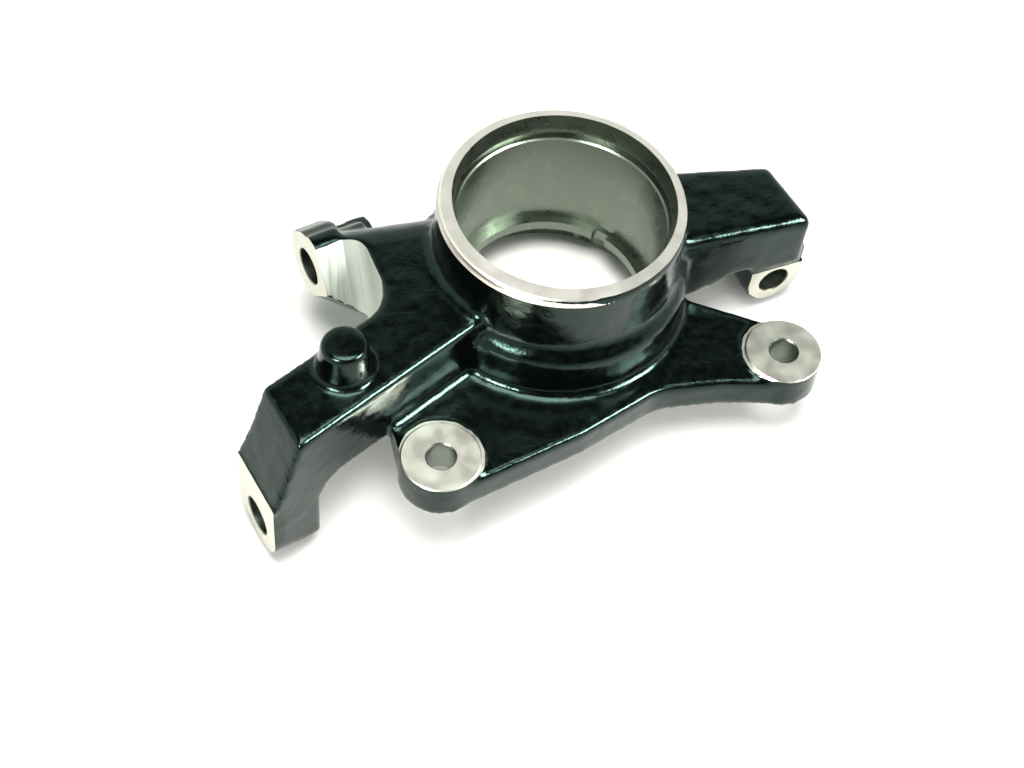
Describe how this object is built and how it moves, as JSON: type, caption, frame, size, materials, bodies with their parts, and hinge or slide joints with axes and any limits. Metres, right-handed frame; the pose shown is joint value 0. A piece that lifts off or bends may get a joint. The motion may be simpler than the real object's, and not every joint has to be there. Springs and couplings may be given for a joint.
{
  "type": "wheel bearing carrier",
  "caption": "Cast carrier that holds a wheel bearing in a machined bore, with a bolted plate for a brake caliper and lugs for the strut and a link.",
  "frame": {"origin": "centre of the bearing bore's wall, on the hub axis", "axes": "+Z along the hub axis out of the ring face, +X from the left caliper boss to the right one"},
  "size_m": [0.1944, 0.1039, 0.0761],
  "materials": {
    "black_casting": "glossy black enamel over a sand-cast skin, with bright machined seats"
  },
  "bodies": {
    "root": {"bearing_carrier": "black_casting"}
  },
  "joints": []
}
